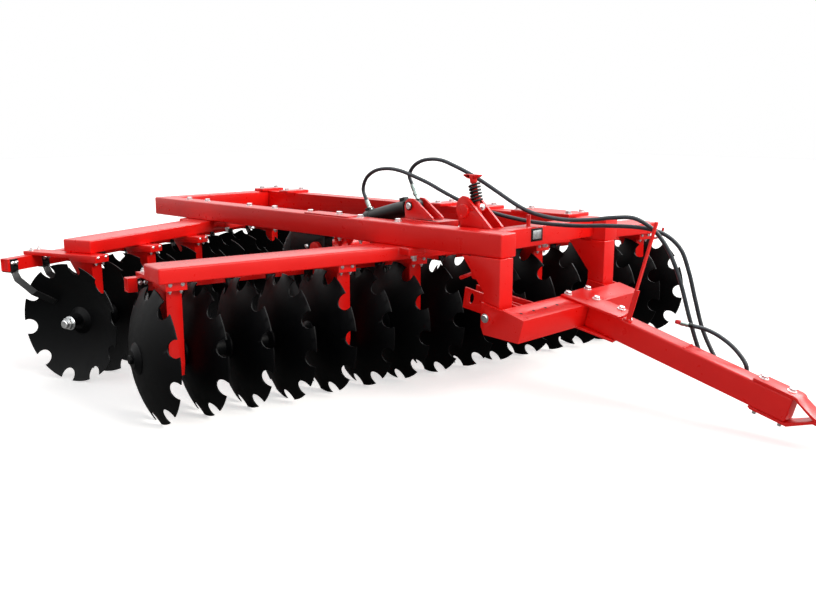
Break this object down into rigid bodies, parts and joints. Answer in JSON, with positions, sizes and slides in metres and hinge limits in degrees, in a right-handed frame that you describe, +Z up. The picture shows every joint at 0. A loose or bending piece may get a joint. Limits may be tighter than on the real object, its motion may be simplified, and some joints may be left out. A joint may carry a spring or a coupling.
{
  "type": "trailed offset disc harrow",
  "caption": "Trailed farm disc harrow: a red square-tube frame on two angled gangs of notched discs, with a sprung drawbar and hydraulic transport wheels.",
  "frame": {"origin": "middle of the object's box on the ground it stands on, hoses left out", "axes": "+Z up, -Y the way it is towed (drawbar), +X to the far ends of both gangs"},
  "size_m": [3.6654, 5.089, 1.2324],
  "materials": {
    "red_paint": "semi-gloss enamel",
    "black_paint": "satin black enamel",
    "zinc": "zinc plated",
    "chrome_rod": "hard chrome",
    "tyre": "matt rubber",
    "hose_rubber": "smooth hose cover"
  },
  "bodies": {
    "root": {"near_rail": "red_paint", "far_rail": "red_paint", "front_cross_beam": "red_paint", "rear_cross_beam": "red_paint", "near_post": "red_paint", "far_post": "red_paint", "near_rockshaft_bearing": "black_paint", "far_rockshaft_bearing": "black_paint", "cylinder_anchor": "red_paint", "levelling_bracket": "red_paint", "front_gang_beam": "red_paint", "front_hanger_1": "red_paint", "front_hanger_2": "red_paint", "front_hanger_3": "red_paint", "front_hanger_4": "red_paint", "front_hanger_5": "red_paint", "front_hanger_6": "red_paint", "front_scraper_bar": "red_paint", "rear_gang_beam": "red_paint", "rear_hanger_1": "red_paint", "rear_hanger_2": "red_paint", "rear_hanger_3": "red_paint", "rear_hanger_4": "red_paint", "rear_hanger_5": "red_paint", "rear_hanger_6": "red_paint", "rear_scraper_bar": "red_paint", "hose_1_rear": "hose_rubber", "hose_2_rear": "hose_rubber"},
    "front_discs_1": {"front_disc_section_1": "black_paint"},
    "front_discs_2": {"front_disc_section_2": "black_paint"},
    "front_discs_3": {"front_disc_section_3": "black_paint"},
    "rear_discs_1": {"rear_disc_section_1": "black_paint"},
    "rear_discs_2": {"rear_disc_section_2": "black_paint"},
    "rear_discs_3": {"rear_disc_section_3": "black_paint"},
    "drawbar": {"drawbar_yoke": "red_paint", "drawbar_tube": "red_paint", "drawbar_top_gusset": "red_paint", "drawbar_bottom_gusset": "red_paint", "hitch_upper_plate": "red_paint", "hitch_lower_plate": "red_paint", "hose_holder": "red_paint", "hose_1_front": "hose_rubber", "hose_1_coupler": "zinc", "hose_2_front": "hose_rubber", "hose_2_coupler": "zinc"},
    "wheel_carrier": {"rockshaft": "red_paint"},
    "near_wheel": {"near_tyre": "tyre", "near_wheel_rim": "zinc"},
    "far_wheel": {"far_tyre": "tyre", "far_wheel_rim": "zinc"},
    "barrel": {"cylinder_barrel": "black_paint"},
    "ram": {"cylinder_rod": "chrome_rod"},
    "trunnion": {"levelling_trunnion": "zinc", "levelling_spring": "black_paint"},
    "level_rod": {"levelling_rod": "red_paint"}
  },
  "joints": [
    {"name": "front_discs_1_spin", "type": "hinge", "parent": "root", "child": "front_discs_1", "pos_m": [-1.676, 0, 0.33], "axis": [0.9816, -0.1908, 0], "continuous": true},
    {"name": "front_discs_2_spin", "type": "hinge", "parent": "root", "child": "front_discs_2", "pos_m": [-1.676, 0, 0.33], "axis": [0.9816, -0.1908, 0], "continuous": true},
    {"name": "front_discs_3_spin", "type": "hinge", "parent": "root", "child": "front_discs_3", "pos_m": [-1.676, 0, 0.33], "axis": [0.9816, -0.1908, 0], "continuous": true},
    {"name": "rear_discs_1_spin", "type": "hinge", "parent": "root", "child": "rear_discs_1", "pos_m": [-1.63, 0.975, 0.33], "axis": [0.9397, 0.342, 0], "continuous": true},
    {"name": "rear_discs_2_spin", "type": "hinge", "parent": "root", "child": "rear_discs_2", "pos_m": [-1.63, 0.975, 0.33], "axis": [0.9397, 0.342, 0], "continuous": true},
    {"name": "rear_discs_3_spin", "type": "hinge", "parent": "root", "child": "rear_discs_3", "pos_m": [-1.63, 0.975, 0.33], "axis": [0.9397, 0.342, 0], "continuous": true},
    {"name": "drawbar_pitch", "type": "hinge", "parent": "root", "child": "drawbar", "pos_m": [0.101, -1.024, 0.479], "axis": [-1, 0, 0], "range_deg": [-3.5, 15]},
    {"name": "wheels_lower", "type": "hinge", "parent": "root", "child": "wheel_carrier", "pos_m": [0.101, 0.322, 0.68], "axis": [-1, 0, 0], "range_deg": [0, 56]},
    {"name": "near_wheel_spin", "type": "hinge", "parent": "wheel_carrier", "child": "near_wheel", "pos_m": [0.011, 0.77024, 0.45846], "axis": [1, 0, 0], "continuous": true},
    {"name": "far_wheel_spin", "type": "hinge", "parent": "wheel_carrier", "child": "far_wheel", "pos_m": [0.311, 0.77024, 0.45846], "axis": [1, 0, 0], "continuous": true},
    {"name": "cylinder_swing", "type": "hinge", "parent": "root", "child": "barrel", "pos_m": [-0.209, -0.312, 0.967], "axis": [1, 0, 0], "range_deg": [-1, 7], "deforming": ["hose_1_rear", "hose_2_rear"]},
    {"name": "ram_slide", "type": "slide", "parent": "barrel", "child": "ram", "axis": [0, 0.9652, -0.2616], "range_m": [0, 0.165]},
    {"name": "trunnion_swing", "type": "hinge", "parent": "root", "child": "trunnion", "pos_m": [-0.229, -0.772, 0.985], "axis": [1, 0, 0], "range_deg": [-1, 3]},
    {"name": "level_rod_slide", "type": "slide", "parent": "trunnion", "child": "level_rod", "axis": [0, -0.246, -0.9693], "range_m": [-0.01, 0.035], "deforming": ["levelling_spring"]}
  ],
  "couplings": [
    {"joint": "cylinder_swing", "follows": "wheels_lower", "ratio": 0.1029},
    {"joint": "ram_slide", "follows": "wheels_lower", "m_per_rad": 0.16289},
    {"joint": "trunnion_swing", "follows": "drawbar_pitch", "ratio": 0.151},
    {"joint": "level_rod_slide", "follows": "drawbar_pitch", "m_per_rad": 0.1198}
  ]
}
